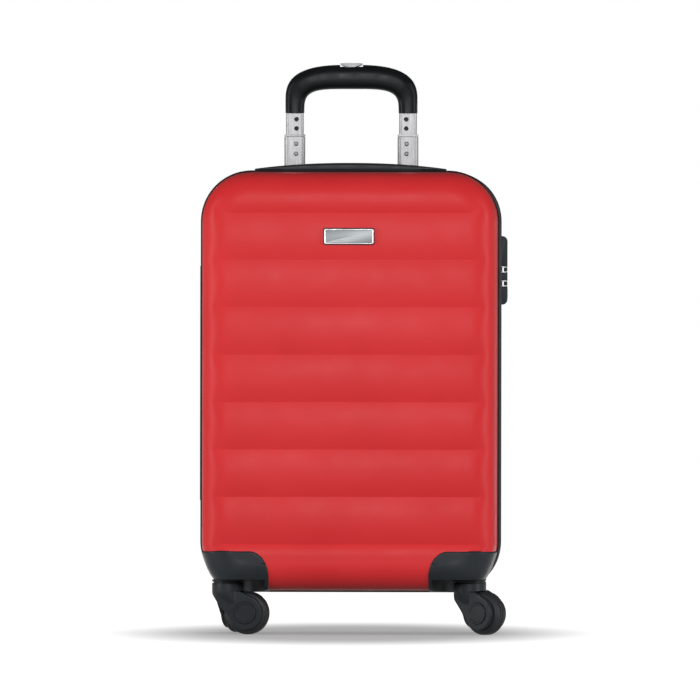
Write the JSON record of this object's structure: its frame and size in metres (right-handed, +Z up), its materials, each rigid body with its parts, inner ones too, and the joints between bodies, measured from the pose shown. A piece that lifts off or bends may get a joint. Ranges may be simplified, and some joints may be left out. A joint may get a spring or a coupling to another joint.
{
  "type": "hard shell suitcase on wheels",
  "caption": "Upright hard shell cabin suitcase that opens on a side hinge, with a telescopic pull handle, carry handle, side combination lock and swivel casters.",
  "frame": {"origin": "on the floor under the middle of the suitcase, in the plane where its halves meet", "axes": "+Z up, -Y towards the front half, +X towards the side with the lock"},
  "size_m": [0.3607, 0.2275, 0.6669],
  "materials": {
    "red_shell": "fine diamond grain ABS, satin",
    "black_plastic": "satin moulded",
    "black_fabric": "woven polyester",
    "grey_lining": "thin polyester lining",
    "aluminium": "satin anodised",
    "satin_silver": "satin",
    "steel": "plain",
    "wheel_rubber": "matt tread"
  },
  "bodies": {
    "case_rear": {"rear_shell": "red_shell", "rear_edge_trim": "black_plastic", "rear_zip_tape": "black_fabric", "rear_zip_coil": "black_plastic", "hinge_leaf_rear": "black_fabric", "rear_lining": "grey_lining", "wheel_housing_rear_left": "black_plastic", "wheel_housing_rear_right": "black_plastic", "handle_dock": "black_plastic", "outer_tube_left": "aluminium", "outer_tube_right": "aluminium", "handle_base_bracket": "black_plastic", "carry_mount_left": "black_plastic", "carry_mount_right": "black_plastic", "lock_body": "black_plastic", "lock_spindle": "steel", "packing_strap_a": "black_fabric", "packing_strap_b": "black_fabric", "strap_buckle": "black_plastic", "zip_slider_lower": "steel", "zip_slider_upper": "steel"},
    "lid_front": {"front_shell": "red_shell", "front_edge_trim": "black_plastic", "front_zip_tape": "black_fabric", "front_zip_coil": "black_plastic", "hinge_leaf_front": "black_fabric", "front_lining": "grey_lining", "wheel_housing_front_left": "black_plastic", "wheel_housing_front_right": "black_plastic", "badge_plate": "satin_silver"},
    "handle_middle": {"middle_tube_left": "aluminium", "middle_tube_right": "aluminium", "middle_collar_left": "black_plastic", "middle_collar_right": "black_plastic"},
    "handle_grip": {"inner_tube_left": "aluminium", "inner_tube_right": "aluminium", "grip": "black_plastic"},
    "handle_release": {"release_button": "satin_silver", "release_yoke": "steel"},
    "carry_handle": {"carry_handle": "black_plastic"},
    "dial_1": {"lock_dial_1": "black_plastic"},
    "dial_2": {"lock_dial_2": "black_plastic"},
    "dial_3": {"lock_dial_3": "black_plastic"},
    "lock_release": {"lock_release": "satin_silver"},
    "zip_pull_lower": {"zip_pull_lower": "black_plastic"},
    "zip_pull_upper": {"zip_pull_upper": "black_plastic"},
    "caster_front_left": {"fork_front_left": "black_plastic", "axle_front_left": "steel"},
    "wheel_front_left": {"wheel_front_left": "wheel_rubber"},
    "caster_front_right": {"fork_front_right": "black_plastic", "axle_front_right": "steel"},
    "wheel_front_right": {"wheel_front_right": "wheel_rubber"},
    "caster_rear_left": {"fork_rear_left": "black_plastic", "axle_rear_left": "steel"},
    "wheel_rear_left": {"wheel_rear_left": "wheel_rubber"},
    "caster_rear_right": {"fork_rear_right": "black_plastic", "axle_rear_right": "steel"},
    "wheel_rear_right": {"wheel_rear_right": "wheel_rubber"}
  },
  "joints": [
    {"name": "lid_hinge", "type": "hinge", "parent": "case_rear", "child": "lid_front", "pos_m": [-0.1771, 0, 0.292], "axis": [0, 0, -1], "range_deg": [0, 180]},
    {"name": "handle_middle_slide", "type": "slide", "parent": "case_rear", "child": "handle_middle", "axis": [0, 0, 1], "range_m": [-0.0937, 0.15]},
    {"name": "handle_grip_slide", "type": "slide", "parent": "handle_middle", "child": "handle_grip", "axis": [0, 0, 1], "range_m": [-0.0245, 0.18]},
    {"name": "handle_release_press", "type": "slide", "parent": "handle_grip", "child": "handle_release", "axis": [0, 0, -1], "range_m": [0, 0.0038], "stiffness_N_per_m": 900, "springref_m": -0.003},
    {"name": "carry_handle_lift", "type": "slide", "parent": "case_rear", "child": "carry_handle", "axis": [0, 0, 1], "range_m": [0, 0.016], "stiffness_N_per_m": 200, "springref_m": -0.004},
    {"name": "lock_release_slide", "type": "slide", "parent": "case_rear", "child": "lock_release", "axis": [0, 0, -1], "range_m": [0, 0.0036], "stiffness_N_per_m": 300, "springref_m": -0.002},
    {"name": "dial_1_turn", "type": "hinge", "parent": "case_rear", "child": "dial_1", "pos_m": [0.1775, 0.017, 0.436], "axis": [0, 0, 1], "continuous": true},
    {"name": "dial_2_turn", "type": "hinge", "parent": "case_rear", "child": "dial_2", "pos_m": [0.1775, 0.017, 0.4445], "axis": [0, 0, 1], "continuous": true},
    {"name": "dial_3_turn", "type": "hinge", "parent": "case_rear", "child": "dial_3", "pos_m": [0.1775, 0.017, 0.453], "axis": [0, 0, 1], "continuous": true},
    {"name": "zip_pull_lower_swing", "type": "hinge", "parent": "case_rear", "child": "zip_pull_lower", "pos_m": [0.1814, 0, 0.4087], "axis": [0, 0, -1], "range_deg": [0, 100]},
    {"name": "zip_pull_upper_swing", "type": "hinge", "parent": "case_rear", "child": "zip_pull_upper", "pos_m": [0.1814, 0, 0.4249], "axis": [0, 0, -1], "range_deg": [0, 100]},
    {"name": "caster_front_left_swivel", "type": "hinge", "parent": "lid_front", "child": "caster_front_left", "pos_m": [-0.1405, -0.068, 0.06], "axis": [0, 0, 1], "continuous": true},
    {"name": "wheel_front_left_roll", "type": "hinge", "parent": "caster_front_left", "child": "wheel_front_left", "pos_m": [-0.11711, -0.0734, 0.025], "axis": [0.225, 0.9744, 0], "continuous": true},
    {"name": "caster_front_right_swivel", "type": "hinge", "parent": "lid_front", "child": "caster_front_right", "pos_m": [0.1405, -0.068, 0.06], "axis": [0, 0, 1], "continuous": true},
    {"name": "wheel_front_right_roll", "type": "hinge", "parent": "caster_front_right", "child": "wheel_front_right", "pos_m": [0.15888, -0.08343, 0.025], "axis": [0.6428, 0.766, 0], "continuous": true},
    {"name": "caster_rear_left_swivel", "type": "hinge", "parent": "case_rear", "child": "caster_rear_left", "pos_m": [-0.1405, 0.068, 0.06], "axis": [0, 0, 1], "continuous": true},
    {"name": "wheel_rear_left_roll", "type": "hinge", "parent": "caster_rear_left", "child": "wheel_rear_left", "pos_m": [-0.13151, 0.09025, 0.025], "axis": [-0.9272, 0.3746, 0], "continuous": true},
    {"name": "caster_rear_right_swivel", "type": "hinge", "parent": "case_rear", "child": "caster_rear_right", "pos_m": [0.1405, 0.068, 0.06], "axis": [0, 0, 1], "continuous": true},
    {"name": "wheel_rear_right_roll", "type": "hinge", "parent": "caster_rear_right", "child": "wheel_rear_right", "pos_m": [0.15427, 0.08766, 0.025], "axis": [-0.8192, 0.5736, 0], "continuous": true}
  ]
}
